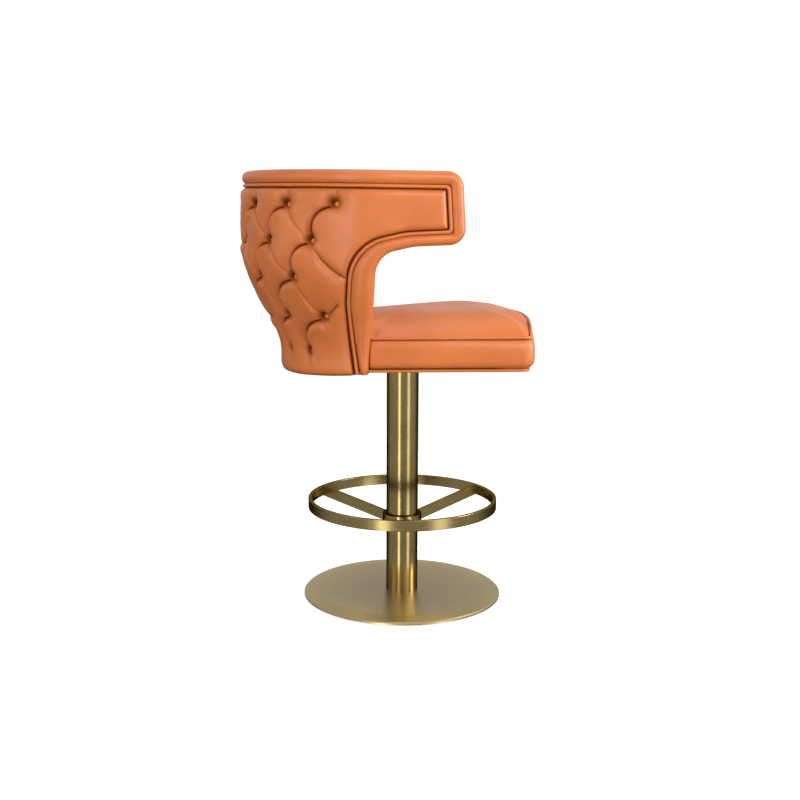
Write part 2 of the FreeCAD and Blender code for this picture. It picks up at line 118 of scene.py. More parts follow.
def around_from_y(y, z, depth=0.0):
    """The way round the right-hand half of the back, from y at a height."""
    radius, centre = barrel(z)
    behind = np.clip((y - centre) / (radius - depth), 0.0, 1.0)
    return np.where(y > centre, np.arccos(behind) * TOP_RADIUS, QUARTER + centre - y)


def foot_height(around):
    """Height of the back's bottom edge, which falls towards the rear."""
    y = back_points(around, WAIST_FOOT, 0.0)[..., 1]
    return BACK_FOOT - BACK_FOOT_FALL * (y - STRUT_FOOT)


# ---------------------------------------------------------------- side outlines of the back
def fillet(before, here, after, radius, count):
    """Points on the rounded corner at here."""
    here = np.array(here)
    back, on = unit(before - here), unit(after - here)
    half = math.acos(float(np.clip(back @ on, -1, 1))) / 2
    centre = here + unit(back + on) * (radius / math.sin(half))
    start = here + back * radius / math.tan(half) - centre
    end = here + on * radius / math.tan(half) - centre
    turn = math.atan2(start[0] * end[1] - start[1] * end[0], start @ end)
    angles = np.linspace(0, turn, count)
    cos, sin = np.cos(angles), np.sin(angles)
    return centre + np.stack([start[0] * cos - start[1] * sin,
                              start[0] * sin + start[1] * cos], -1)


def side_outline(inset, under, belly, knee, strut, foot, corner):
    """Side outline of the back as (around, z): on the right-hand half from the strut's foot,
    under the arm, round its front and along the top to the middle, and mirrored on."""
    front_top, top = ARM_FRONT + inset, BACK_TOP - inset
    front_under = front_top - ARM_RAKE * (top - under)
    low = BACK_FOOT - BACK_FOOT_FALL * (foot - STRUT_FOOT)
    rear = 0.30
    corners = [
        ((foot, low), 0.0, 2),
        (strut, 0.130, 8),
        (knee[:2], knee[2], 26),
        (belly[:2], belly[2], 14),
        ((front_under, under), corner, 14),
        ((front_top, top), corner, 14),
        ((rear, top + BACK_TOP_RISE * (rear - front_top)), 0.0, 2),
    ]
    points = [np.array([[foot, low]])]
    for before, (place, radius, count), after in zip(corners, corners[1:], corners[2:]):
        points.append(fillet(before[0], place, after[0], radius, count))
    rows = []
    for straight, a, b in zip((9, 6, 4, 26, 22), points, points[1:]):
        share = np.linspace(0, 1, straight, endpoint=False)[1:, None]
        rows += [a, a[-1] + (b[0] - a[-1]) * share]
    yz = np.concatenate([*rows, points[-1]])
    around = around_from_y(*yz.T)
    rest = around[-1] * (1 - np.linspace(0, 1, 150)[1:])
    rest_y = back_points(rest, yz[-1, 1], 0.0)[:, 1]
    rest_z = yz[-1, 1] + BACK_TOP_RISE * (rest_y - yz[-1, 0])
    half = np.concatenate([np.stack([around, yz[:, 1]], -1), np.stack([rest, rest_z], -1)])
    return np.concatenate([half, half[-2::-1] * (-1.0, 1.0)])


# The back's edge, the seam of its border roll, and the edge of its cushions.
EDGE = side_outline(0.0, 0.8070, (0.025, 0.8035, 0.150), (0.1045, 0.7865, 0.050),
                    (0.104, 0.690), STRUT_FOOT, 0.033)
SEAM = side_outline(0.0255, 0.8280, (0.040, 0.8245, 0.170), (0.150, 0.8020, 0.084),
                    (0.150, 0.690), 0.124, 0.004)
FIELD = side_outline(0.0355, 0.8370, (0.046, 0.8335, 0.175), (0.160, 0.8080, 0.084),
                     (0.160, 0.690), 0.138, 0.002)


# ---------------------------------------------------------------- mesh helpers
def shade_smooth(mesh):
    mesh.polygons.foreach_set("use_smooth", np.ones(len(mesh.polygons), bool))


def add_object(name, data):
    made = bpy.data.objects.new(name, data)
    bpy.context.scene.collection.objects.link(made)
    return made


def mesh_object(name, vertices, faces, material):
    mesh = bpy.data.meshes.new(name)
    mesh.from_pydata([tuple(v) for v in vertices], [], [tuple(f) for f in faces])
    mesh.validate()
    mesh.update()
    obj = add_object(name, mesh)
    shade_smooth(mesh)
    mesh.materials.append(material)
    return obj


def places(mesh):
    """The mesh's points, one row each."""
    flat = np.empty(len(mesh.vertices) * 3)
    mesh.vertices.foreach_get("co", flat)
    return flat.reshape(-1, 3)


def face_outwards(obj):
    bm = bmesh.new()
    bm.from_mesh(obj.data)
    bmesh.ops.recalc_face_normals(bm, faces=bm.faces)
    bm.to_mesh(obj.data)
    bm.free()
    return obj


def grid_faces(rows, columns, offset=0, closed=False):
    """Quads of a rows x columns grid of points; closed joins the last column to the first."""
    row, column = np.meshgrid(np.arange(rows - 1), np.arange(columns if closed else columns - 1),
                              indexing="ij")
    nxt = (column + 1) % columns
    quads = np.stack([row * columns + column, (row + 1) * columns + column,
                      (row + 1) * columns + nxt, row * columns + nxt], -1)
    return (quads.reshape(-1, 4) + offset).tolist()


def store_painted_shade(obj, dark):
    """Keeps the painted crease shade at the first points; the points left over are clear."""
    values = np.zeros(len(obj.data.vertices), np.float32)
    values[:len(dark)] = dark
    obj.data.attributes.new("crease_shade", "FLOAT", "POINT").data.foreach_set("value", values)


def way_along(line):
    """How far along a polyline each of its points is."""
    return np.concatenate([[0], np.cumsum(norm(np.diff(line, axis=0), axis=1))])


def make_piping(name, centres, normals, radius, pucker):
    """Closed, slightly puckered tube on a line of centres; normals give it a steady frame."""
    sides = 14
    tangent = unit(np.gradient(centres, axis=0))
    side = unit(np.cross(tangent, normals))
    up = np.cross(side, tangent)
    angles = np.linspace(0, 2 * math.pi, sides, endpoint=False)
    length = way_along(centres)
    ripple = 1 + pucker * np.sin(length / 0.0042)[:, None] * np.sin(length / 0.031)[:, None]
    rings = (centres[:, None] + radius * ripple[..., None]
             * (np.cos(angles)[None, :, None] * up[:, None]
                + np.sin(angles)[None, :, None] * side[:, None]))
    count = len(centres)
    faces = grid_faces(count, sides, closed=True)
    faces += [list(range(sides))[::-1], [(count - 1) * sides + i for i in range(sides)]]
    return mesh_object(name, rings.reshape(-1, 3), faces, HIDE)


def resample(points, spacing):
    """Points at an even spacing on a polyline."""
    length = way_along(points)
    count = max(2, int(round(length[-1] / spacing)) + 1)
    at = np.linspace(0, length[-1], count)
    return np.stack([np.interp(at, length, points[:, k]) for k in range(points.shape[1])], -1)


def soften(points, passes):
    """Evens out the turns of a polyline; its ends stay."""
    points = points.copy()
    for _ in range(passes):
        points[1:-1] = (points[:-2] + 2 * points[1:-1] + points[2:]) / 4
    return points


def value_noise(points, scale, seed=0.0):
    shift = Vector((seed, seed * 0.37, seed * 0.71))
    return np.array([noise.noise(Vector(p) * scale + shift) for p in points])


# ---------------------------------------------------------------- materials
class Nodes:
    """Small helper round a node tree."""

    def __init__(self, tree):
        self.tree = tree
        self.coords = tree.nodes.new("ShaderNodeTexCoord")

    def node(self, kind, **values):
        made = self.tree.nodes.new(kind)
        for key, value in values.items():
            if key in made.inputs:
                made.inputs[key].default_value = value
            else:
                setattr(made, key, value)
        return made

    def link(self, a, b):
        self.tree.links.new(a, b)

    def ramp(self, source, stops):
        made = self.node("ShaderNodeValToRGB")
        elements = made.color_ramp.elements
        while len(elements) < len(stops):
            elements.new(0.5)
        for element, (position, colour) in zip(elements, stops):
            element.position = position
            element.color = (*colour, 1.0)
        self.link(source, made.inputs["Fac"])
        return made.outputs["Color"]

    def span(self, source, low, high, from_low=0.0, from_high=1.0):
        made = self.node("ShaderNodeMapRange")
        for socket, value in (("From Min", from_low), ("From Max", from_high),
                              ("To Min", low), ("To Max", high)):
            made.inputs[socket].default_value = value
        self.link(source, made.inputs["Value"])
        return made.outputs["Result"]


class Shader(Nodes):
    """A new material, and what its main shader is fed."""

    def __init__(self, name):
        self.material = bpy.data.materials.new(name)
        self.material.use_nodes = True
        super().__init__(self.material.node_tree)
        self.main = self.tree.nodes["Principled BSDF"]

    def feed(self, **sources):
        """Links outputs to the main shader's sockets, or sets plain values on them."""
        for name, value in sources.items():
            socket = self.main.inputs[name.replace("_", " ")]
            if isinstance(value, bpy.types.NodeSocket):
                self.link(value, socket)
            else:
                socket.default_value = value

    def mapped(self, scale):
        mapping = self.node("ShaderNodeMapping", Scale=scale)
        self.link(self.coords.outputs["Object"], mapping.inputs["Vector"])
        return mapping.outputs["Vector"]

    def noise(self, scale, detail=2.0, roughness=0.5, stretch=(1, 1, 1)):
        made = self.node("ShaderNodeTexNoise", Scale=scale, Detail=detail, Roughness=roughness)
        self.link(self.mapped(stretch), made.inputs["Vector"])
        return made.outputs["Fac"]

    def mix(self, kind, factor, a, b):
        made = self.node("ShaderNodeMix", data_type="RGBA", blend_type=kind)
        for socket, value in ((made.inputs["Factor"], factor), (made.inputs["A"], a),
                              (made.inputs["B"], b)):
            if isinstance(value, bpy.types.NodeSocket):
                self.link(value, socket)
            elif isinstance(value, (int, float)):
                socket.default_value = value
            else:
                socket.default_value = (*value, 1.0)
        return made.outputs["Result"]

    def darken(self, factor, colour, source, low, tone, high):
        """Multiplies a colour by a tone where the source is low."""
        return self.mix("MULTIPLY", factor, colour,
                        self.ramp(source, [(low, tone), (high, (1, 1, 1))]))

    def bump(self, height, strength, distance, below=None):
        made = self.node("ShaderNodeBump", Strength=strength, Distance=distance)
        self.link(height, made.inputs["Height"])
        if below is not None:
            self.link(below, made.inputs["Normal"])
        return made.outputs["Normal"]


LEATHER = (0.605, 0.155, 0.027)
LEATHER_DEEP = (0.555, 0.134, 0.021)
LEATHER_WORN = (0.640, 0.176, 0.035)
# Near-black brown painted into folds, seams and button pits as shade.
LEATHER_PAINTED_SHADE = (0.045, 0.007, 0.002)


def leather(name, shaded_creases=False):
    """Smooth tan hide: mottled colour, fine pebbled grain, and painted shade that darkens the
    creases and takes their gloss down.
    """
    s = Shader(name)
    broad = s.noise(9.0, 3.0, 0.55)
    colour = s.ramp(broad, [(0.30, LEATHER_DEEP), (0.55, LEATHER), (0.80, LEATHER_WORN)])
    speck = s.noise(340.0, 2.0, 0.6)
    colour = s.darken(0.16, colour, speck, 0.35, (0.70, 0.62, 0.58), 0.60)
    gloss = {"Specular_IOR_Level": 0.55, "Coat_Weight": 0.10, "Sheen_Weight": 0.10}
    if shaded_creases:
        # Painted shade: the stored attribute mixes the near-black brown into the creases and fades
        # the gloss there.
        crease_shade = s.node("ShaderNodeAttribute", attribute_name="crease_shade").outputs["Fac"]
        colour = s.mix("MIX", crease_shade, colour, LEATHER_PAINTED_SHADE)
        gloss = {name: s.span(crease_shade, weight, 0.0, 0.0, 0.6) for name, weight in gloss.items()}
    s.feed(Base_Color=colour, **gloss)

    grain = s.node("ShaderNodeTexVoronoi", feature="DISTANCE_TO_EDGE", Scale=620.0)
    warp = s.noise(140.0, 2.0)
    bent = s.mix("ADD", 0.004, s.mapped((1, 1, 1)), warp)
    s.link(bent, grain.inputs["Vector"])
    pebbles = s.span(grain.outputs["Distance"], 0.0, 1.0, 0.0, 0.22)
    normal = s.bump(pebbles, 0.20, 0.00025)
    normal = s.bump(s.noise(1500.0, 1.0), 0.10, 0.0001, normal)
    normal = s.bump(s.noise(32.0, 3.0, 0.6), 0.22, 0.0016, normal)
    patches = s.noise(22.0, 2.0)
    s.feed(Normal=normal, Roughness=s.span(patches, 0.33, 0.43), Coat_Roughness=0.30,
           Sheen_Roughness=0.45, Sheen_Tint=(1.0, 0.80, 0.72, 1.0))
    return s.material


def brass_finish(s, broad, lines, tones, rough, edge_tint):
    """Shared part of the brass materials: patina, with painted rim light where broad carries it,
    brushing, and the tint of grazing reflections.
    """
    colour = s.ramp(broad, [(0.25, tones[0]), (0.55, tones[1]), (0.80, tones[2])])
    colour = s.darken(0.35, colour, lines, 0.3, (0.72, 0.70, 0.66), 0.7)
    s.feed(Base_Color=colour, Metallic=1.0, Specular_Tint=(*edge_tint, 1.0),
           Roughness=s.span(lines, rough - 0.06, rough + 0.10))
    return s.material


def brass(name, stretch, rough=0.17, edge_tint=(0.10, 0.085, 0.06)):
    """Brushed antique brass; stretch squeezes the brushing across its direction."""
    s = Shader(name)
    lines = s.noise(90.0, 3.0, 0.7, stretch)
    s.feed(Normal=s.bump(lines, 0.012, 0.0001))
    return brass_finish(s, s.noise(11.0, 4.0, 0.6), lines,
                        ((0.30, 0.225, 0.085), (0.36, 0.275, 0.110), (0.42, 0.325, 0.135)),
                        rough, edge_tint)


def spun_brass(name, rough=0.33):
    """Brass spun on a lathe: fine rings about the stool's axis."""
    s = Shader(name)
    radius = s.node("ShaderNodeVectorMath", operation="LENGTH")
    s.link(s.mapped((1, 1, 0)), radius.inputs[0])
    ring_place = s.node("ShaderNodeCombineXYZ")
    s.link(radius.outputs["Value"], ring_place.inputs["X"])
    rings = s.node("ShaderNodeTexNoise", Scale=900.0, Detail=3.0, Roughness=0.7)
    s.link(ring_place.outputs["Vector"], rings.inputs["Vector"])
    s.feed(Normal=s.bump(rings.outputs["Fac"], 0.06, 0.0002))
    # Painted light: the colour grows lighter and yellower towards the rim, for the bright band the
    # curved rim reflects.
    painted_rim_light = s.span(radius.outputs["Value"], 0.10, 0.90, 0.05, 0.225)
    broad = s.mix("MIX", 0.30, painted_rim_light, s.noise(7.0, 4.0, 0.6))
    return brass_finish(s, broad, rings.outputs["Fac"],
                        ((0.50, 0.390, 0.235), (0.57, 0.455, 0.250), (0.68, 0.545, 0.255)),
                        rough, (1.0, 1.0, 1.0))


def grained(name, colour, rough, scale, metal=False):
    """Plain fine-grained surface of metal, or of polymer or rubber."""
    s = Shader(name)
    dark, less, more, bump, depth = ((0.75, 0.06, 0.08, 0.12, 0.0003) if metal
                                     else (0.70, 0.05, 0.05, 0.25, 0.0004))
    grain = s.noise(scale, 3.0, 0.6)
    darker = tuple(c * dark for c in colour)
    s.feed(Base_Color=s.ramp(grain, [(0.3, darker), (0.7, colour)]), Metallic=float(metal),
           Roughness=s.span(grain, rough - less, rough + more),
           Normal=s.bump(grain, bump, depth))
    return s.material


def wood(name, light, dark, stretch):
    s = Shader(name)
    figure = s.noise(26.0, 5.0, 0.65, stretch)
    fibre = s.noise(180.0, 2.0, 0.6, stretch)
    colour = s.ramp(figure, [(0.3, dark), (0.7, light)])
    colour = s.darken(0.3, colour, fibre, 0.3, (0.7, 0.65, 0.6), 0.7)
    s.feed(Base_Color=colour, Roughness=s.span(fibre, 0.55, 0.72),
           Normal=s.bump(fibre, 0.25, 0.0004))
    return s.material


def cloth_black(name):
    s = Shader(name)
    yarns = []
    for axis in "XY":
        wave = s.node("ShaderNodeTexWave", Scale=420.0, Distortion=2.0, bands_direction=axis)
        s.link(s.mapped((1, 1, 1)), wave.inputs["Vector"])
        yarns.append(wave.outputs["Color"])
    threads = s.mix("MULTIPLY", 1.0, *yarns)
    s.feed(Base_Color=s.ramp(threads, [(0.1, (0.010, 0.010, 0.011)), (0.8, (0.030, 0.030, 0.032))]),
           Roughness=0.85, Normal=s.bump(threads, 0.4, 0.0004))
    return s.material


HIDE = leather("tan_hide")
TUFTED_HIDE = leather("tan_hide_tufted", shaded_creases=True)
BRASS_UP = brass("brass_brushed_round", (12, 12, 0.5))
BRASS_BAND = brass("brass_brushed_band", (0.5, 0.5, 7), 0.24, (0.40, 0.36, 0.30))
BRASS_SPUN = spun_brass("brass_spun")
STEEL = grained("zinc_plate", (0.58, 0.58, 0.55), 0.36, 220.0, metal=True)
IRON = grained("cast_iron_oiled", (0.16, 0.16, 0.155), 0.55, 90.0, metal=True)
ACETAL = grained("acetal", (0.72, 0.71, 0.66), 0.45, 300.0)
RUBBER = grained("rubber_black", (0.022, 0.022, 0.022), 0.82, 500.0)
PLYWOOD = wood("birch_plywood", (0.62, 0.46, 0.28), (0.48, 0.33, 0.19), (1, 5, 8))
BEECH = wood("beech", (0.50, 0.30, 0.16), (0.40, 0.22, 0.11), (6, 1, 6))
CAMBRIC = cloth_black("black_cambric")

NODE_MATERIALS = {
    BRASS_SPUN: ("base_cover",),
    BRASS_UP: ("column_tube", "footrest_hub"),
    BRASS_BAND: ("footrest_ring", "footrest_spoke_1", "footrest_spoke_2", "footrest_spoke_3"),
    STEEL: ("base_screws", "column_foot_plug", "footrest_set_screws", "bearing_housing",
            "swivel_spindle", "spindle_washer", "retaining_ring", "swivel_plate",
            "mount_bolts", "tee_nuts", "back_bolts"),
    IRON: ("ballast_plate",),
    ACETAL: ("upper_bush", "lower_bush", "thrust_washer"),
    RUBBER: ("floor_pad",),
    PLYWOOD: ("seat_board", "back_shell"),
    BEECH: ("seat_rail_front", "seat_rail_rear", "seat_rail_left", "seat_rail_right"),
}


def dress_cad_nodes():
    for material, names in NODE_MATERIALS.items():
        for name in names:
            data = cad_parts[name].data
            data.materials.clear()
            data.materials.append(material)
            data.polygons.foreach_set("material_index", np.zeros(len(data.polygons), np.int32))


# ---------------------------------------------------------------- panels of the back
def lattice(outline, ground, spacing):
    """Even triangle lattice between an open outline of (around, z) and its bottom edge."""
    border = resample(outline, spacing)
    ground = resample(ground, spacing)[1:-1]
    loop = np.concatenate([border, ground])
    low_corner, high_corner = loop.min(0), loop.max(0)
    rows = np.arange(low_corner[1], high_corner[1], spacing * math.sqrt(0.75))
    points = []
    for index, z in enumerate(rows):
        start = low_corner[0] + spacing * 0.5 * (index % 2)
        xs = np.arange(start, high_corner[0], spacing)
        points.append(np.stack([xs, np.full(xs.shape, z)], -1))
    points = np.concatenate(points)
    inside = points_inside(points, loop) & (distance_to_loop(points, loop) > spacing * 0.6)
    points = points[inside]
    count = len(loop)
    vectors = [Vector(p) for p in loop] + [Vector(p) for p in points]
    edges = [(i, (i + 1) % count) for i in range(count)]
    made = delaunay_2d_cdt(vectors, edges, [], 1, 1e-7)
    coords = np.array([tuple(v) for v in made[0]])
    return coords, [list(f) for f in made[2]]


def points_inside(points, loop):
    inside = np.zeros(len(points), bool)
    x, y = points.T
    for (ax, ay), (bx, by) in zip(loop, np.roll(loop, -1, 0)):
        if ay == by:
            continue
        crosses = (ay > y) != (by > y)
        inside ^= crosses & (x < (bx - ax) * (y - ay) / (by - ay) + ax)
    return inside


def measure(points, line):
    """For each point its distance to a polyline, the same distance signed (positive on the
    line's left), and the share of the way along where it is nearest."""
    best = np.full(len(points), 1e9)
    signed = np.zeros(len(points))
    along = np.zeros(len(points))
    for index, (a, b) in enumerate(zip(line[:-1], line[1:])):
        ab = b - a
        share = np.clip(((points - a) @ ab) / max(ab @ ab, 1e-12), 0, 1)
        off = points - a - share[:, None] * ab
        distance = norm(off, axis=1)
        nearer = distance < best
        best = np.where(nearer, distance, best)
        left = ab[0] * off[:, 1] - ab[1] * off[:, 0] > 0
        signed = np.where(nearer, np.where(left, distance, -distance), signed)
        along = np.where(nearer, (index + share) / (len(line) - 1), along)
    return best, signed, along


def distance_to_line(points, line):
    return measure(points, line)[0]


def distance_to_loop(points, loop):
    coarse = loop[::2]
    return distance_to_line(points, np.concatenate([coarse, coarse[:1]]))


def bezier(a, b, c, d, count=14):
    t = np.linspace(0, 1, count)[:, None]
    return (1 - t) ** 3 * a + 3 * t * (1 - t) ** 2 * b + 3 * t * t * (1 - t) * c + t ** 3 * d


# A fold of the leather between two buttons, or from a button to a seam.
Pleat = namedtuple("Pleat", "line strength sharp")


def button_places():
    return [(place * BUTTON_STEP, z) for z, places in BUTTON_ROWS for place in places]


def make_pleats():
    """Folds that join each button to its neighbours in the next row.

    The folds that run down towards the middle of the back are deep, with a rounded lip that
    laps over them; the ones that run down towards the arms are softer.
    """
    pleats = []
    rows = [(z, list(places)) for z, places in BUTTON_ROWS]
    rows[2][1].extend((-3.14, 3.14))
    for (z_high, high), (z_low, low) in zip(rows[:-1], rows[1:]):
        for a in high:
            for b in low:
                if abs(a) > 3 or not 0.2 < abs(a - b) < 0.8:
                    continue
                start = np.array([a * BUTTON_STEP, z_high])
                end = np.array([b * BUTTON_STEP, z_low])
                across = np.array([end[0] - start[0], 0.0])
                down = np.array([0.0, z_high - z_low])
                if abs(b) < abs(a):
                    start = start - (math.copysign(0.006, a), 0.006)
                    line = bezier(start, start + across * 0.66 - down * 0.03,
                                  end + across * 0.20 + down * 0.52, end)
                    pleats.append(Pleat(line, 1.0, True))
                else:
                    line = bezier(start, start + across * 0.10 - down * 0.36,
                                  end - across * 0.42 + down * 0.22, end)
                    pleats.append(Pleat(line, 1.0 if abs(b) > 3 else 0.72, False))

    def short_fold(place, z, strength, *steps):
        foot = np.array([place * BUTTON_STEP, z])
        pleats.append(Pleat(bezier(foot, *(foot + step for step in steps)), strength, False))

    z_top, top_places = BUTTON_ROWS[0]
    for place in top_places:
        short_fold(place, z_top, 0.62, (0.001, 0.008), (0.0, 0.014), (0.0, 0.024))
    z_spur, spur_places = BUTTON_ROWS[3]
    for side in (-1, 1):
        short_fold(side * spur_places[-1], z_spur, 0.85, (side * 0.012, 0.006),
                   (side * 0.026, 0.017), (side * 0.042, 0.030))
    return pleats


PUFF = 0.0130                           # from the crest of the leather down into a fold
PAD_CREST = 0.0045                      # over the nominal outer face
SEAM_SINK = -0.0050
BUTTON_DEPTH = 0.0150


def funnel(points, place):
    """Hollow above a button: wide towards the leather overhead, tight under the button."""
    off = points - np.array(place)
    above = off[:, 1] > 0
    tall = np.where(above, 0.0260, 0.0085)
    wide = np.where(above, 0.0150, 0.0120)
    return np.exp(-np.hypot(off[:, 0] / wide, off[:, 1] / tall) ** 1.3)


def tufted_relief(points, border):
    """Height, sideways shift and painted crease shade of the tufted leather at (around, z)."""
    valley = np.zeros(len(points))
    slide = np.zeros((len(points), 2))
    dark = np.zeros(len(points))
    lift = np.zeros(len(points))
    for pleat in make_pleats():
        box_low = pleat.line.min(0) - 0.075
        box_high = pleat.line.max(0) + 0.075
        near = np.all((points > box_low) & (points < box_high), axis=1)
        if not near.any():
            continue
        distance, signed, along = measure(points[near], pleat.line)
        if pleat.sharp:
            mirrored = np.sign(pleat.line[0, 0] + pleat.line[-1, 0])
            lip = signed * mirrored > 0
            ends = np.clip(1.15 - 0.30 * along, 0, 1) * smooth(0.25 + along / 0.12)
            reach = 0.0075 + 0.0085 * along
            groove = np.where(lip, np.exp(-(distance / 0.0034) ** 1.4),
                              np.exp(-distance / reach))
            valley[near] = np.maximum(valley[near], ends * groove)
            lift[near] = np.maximum(lift[near], ends * np.where(
                lip, 0.0026 * np.exp(-((distance - 0.010) / 0.009) ** 2), 0.0))
            tangent = unit(pleat.line[-1] - pleat.line[0])
            across = np.array([-tangent[1], tangent[0]]) * mirrored
            push = ends * np.where(lip, np.exp(-distance / 0.006), 0.0) * 0.0034
            slide[near] -= push[:, None] * across
            # Painted shade: a dark line along the fold's groove.
            crease_shade = np.where(lip, np.exp(-(distance / 0.0017) ** 2),
                              np.exp(-(distance / 0.0052) ** 2.4))
            # Painted shade on the far side of the fold, where the leather dives under the lip.
            shade = np.where(lip, 0.0, 0.62 * smooth((along - 0.35) / 0.6)
                             * np.exp(-distance / 0.0110))
            dark[near] = np.maximum(dark[near], ends * np.maximum(crease_shade, shade))
        else:
            ends = pleat.strength * (0.42 + 0.58 * np.abs(2 * along - 1) ** 1.5)
            if pleat.strength > 0.8:
                ends = pleat.strength * smooth(0.2 + 1.4 * along)
            groove = 0.55 * np.exp(-distance / 0.0070) + 0.45 * np.exp(-distance / 0.0024)
            valley[near] = np.maximum(valley[near], ends * groove)
            # Painted shade: a thin dark line along each soft fold.
            dark[near] = np.maximum(dark[near],
                                    0.62 * ends * np.exp(-(distance / 0.0017) ** 2))
    sink = np.zeros(len(points))
    for place in button_places():
        sink = np.maximum(sink, funnel(points, place))
        # Painted shade in the pit on the upper outer side of each button.
        pit = np.array(place) + (-0.0050 * np.sign(place[0]), 0.0045)
        distance = norm(points - pit, axis=1)
        dark = np.maximum(dark, 0.94 * np.exp(-(distance / 0.0125) ** 2.2))
    from_seam = distance_to_line(points, border)
    rise = 1 - np.exp(-(from_seam / 0.0046) ** 1.3)
    height = PAD_CREST - PUFF * valley + lift
    height = SEAM_SINK + (height - SEAM_SINK) * rise
    height -= sink * BUTTON_DEPTH
    # Painted shade where the leather lies deep, and along the seam at the border.
    dark = np.maximum(dark, 0.68 * smooth((-0.0040 - height) / 0.0150) * rise)
    dark = np.maximum(dark, 0.85 * np.exp(-(from_seam / 0.0020) ** 2))
    return height, slide, np.clip(dark, 0, 1)


def solid_panel(name, faces, front, rear, material):
    """Closed panel: a front face, a rim, and a back face at the points of rear."""
    count = len(front)
    border = {}
    for face in faces:
        for a, b in zip(face, face[1:] + face[:1]):
            if (b, a) in border:
                del border[(b, a)]
            else:
                border[(a, b)] = True
    rim = [[a, a + count, b + count, b] for a, b in border]
    back = [[i + count for i in reversed(face)] for face in faces]
    return face_outwards(mesh_object(name, np.concatenate([front, rear]),
                                     faces + rim + back, material))


def make_outer_pad():
    ground = np.linspace(FIELD[-1, 0], FIELD[0, 0], 120)
    coords, faces = lattice(FIELD, np.stack([ground, foot_height(ground)], -1), 0.0027)
    height, slide, dark = tufted_relief(coords, FIELD)
    arm = smooth((np.abs(coords[:, 0]) - 3.15 * BUTTON_STEP) / 0.08)
    height -= 0.0035 * arm
    shifted = coords + slide
    here = back_points(*shifted.T, 0.0)
    normal = back_normals(*shifted.T)
    sag = 0.0008 * value_noise(here, 26.0) * (1 - arm * 0.5)
    front = here + normal * (height + sag)[:, None]
    above_foot = coords[:, 1] - foot_height(coords[:, 0])
    # Painted shadow in a thin line along the back's bottom edge.
    dark = np.maximum(dark, 0.60 * np.exp(-(above_foot / 0.0040) ** 2))
    foot = np.clip((0.018 - above_foot) / 0.018, 0, 1)
    front -= normal * (0.011 * (1 - np.sqrt(1 - foot ** 2 * 0.98)))[:, None]
    rear = back_points(*coords.T, 0.0175)
    pad = solid_panel("back_outer_cushion", faces, front, rear, TUFTED_HIDE)
    store_painted_shade(pad, dark)
    return pad


def make_buttons():
    """Domed buttons, each pulled down into its hollow."""
    rings, sides = 7, 20
    vertices, faces = [], []
    for around, z in button_places():
        normal = back_normals(around, z)
        side = unit(np.cross(normal, (0, 0, 1)))
        up = np.cross(side, normal)
        base = back_points(around, z, 0.0) - normal * BUTTON_DEPTH
        start = len(vertices)
        vertices.append(base + normal * 0.0068)
        for ring in range(1, rings + 1):
            tilt = math.pi * 0.62 * ring / rings
            level = base + normal * (0.0012 + 0.0056 * math.cos(tilt))
            for step in range(sides):
                turn = 2 * math.pi * step / sides
                vertices.append(level + 0.0070 * math.sin(tilt)
                                * (math.cos(turn) * side + math.sin(turn) * up))
        for step in range(sides):
            faces.append([start, start + 1 + step, start + 1 + (step + 1) % sides])
        faces += grid_faces(rings, sides, start + 1, closed=True)
        last = start + 1 + (rings - 1) * sides
        faces.append([last + step for step in range(sides)][::-1])
    return face_outwards(mesh_object("tufting_button_set", vertices, faces, HIDE))


def roll_section():
    """(share of the way from the seam to the edge, level from the middle) of the roll."""
    half = MID_DEPTH - ROLL_DEPTH
    crest, power = 0.40, 2.5
    side = []
    for share in np.linspace(0.0, crest, 6, endpoint=False):
        side.append((share, half - 0.0052 * (1 - share / crest) ** 2))
    for turn in np.linspace(0, math.pi / 2, 12):
        reach = math.sin(turn) ** (2 / power)
        side.append((crest + (1 - crest) * reach, half * max(math.cos(turn), 0) ** (2 / power)))
    seam = [(-0.06, half - 0.0105)] + side
    return [(x, -level) for x, level in seam] + [(x, level) for x, level in seam[-2::-1]]


def make_border_roll():
    """Padded border: a bullnose section carried round the edge of the back."""
    rings = []
    for share, level in roll_section():
        line = SEAM + (EDGE - SEAM) * share
        rings.append(back_points(*line.T, MID_DEPTH + level))
    under = SEAM + (FIELD - SEAM) * 1.08
    for level in (0.0105, 0.0, -0.0105):
        rings.append(back_points(*under.T, MID_DEPTH + level))
    rings = np.stack(rings, 1)
    rows, columns = rings.shape[:2]
    vertices = rings.reshape(-1, 3)
    faces = grid_faces(rows, columns, closed=True)
    faces += [list(range(columns)), [(rows - 1) * columns + i for i in range(columns)][::-1]]
    return face_outwards(mesh_object("back_border", vertices, faces, HIDE))


def make_back_welt(name, depth):
    line = resample(soften(SEAM + (FIELD - SEAM) * 0.5, 2), 0.0035)
    line = soften(line, 2)
    line = line[line[:, 1] > foot_height(line[:, 0]) + 0.0015]
    centres = back_points(*line.T, depth)
    normals = back_normals(*line.T)
    return make_piping(name, centres, normals, WELT_RADIUS, 0.015)


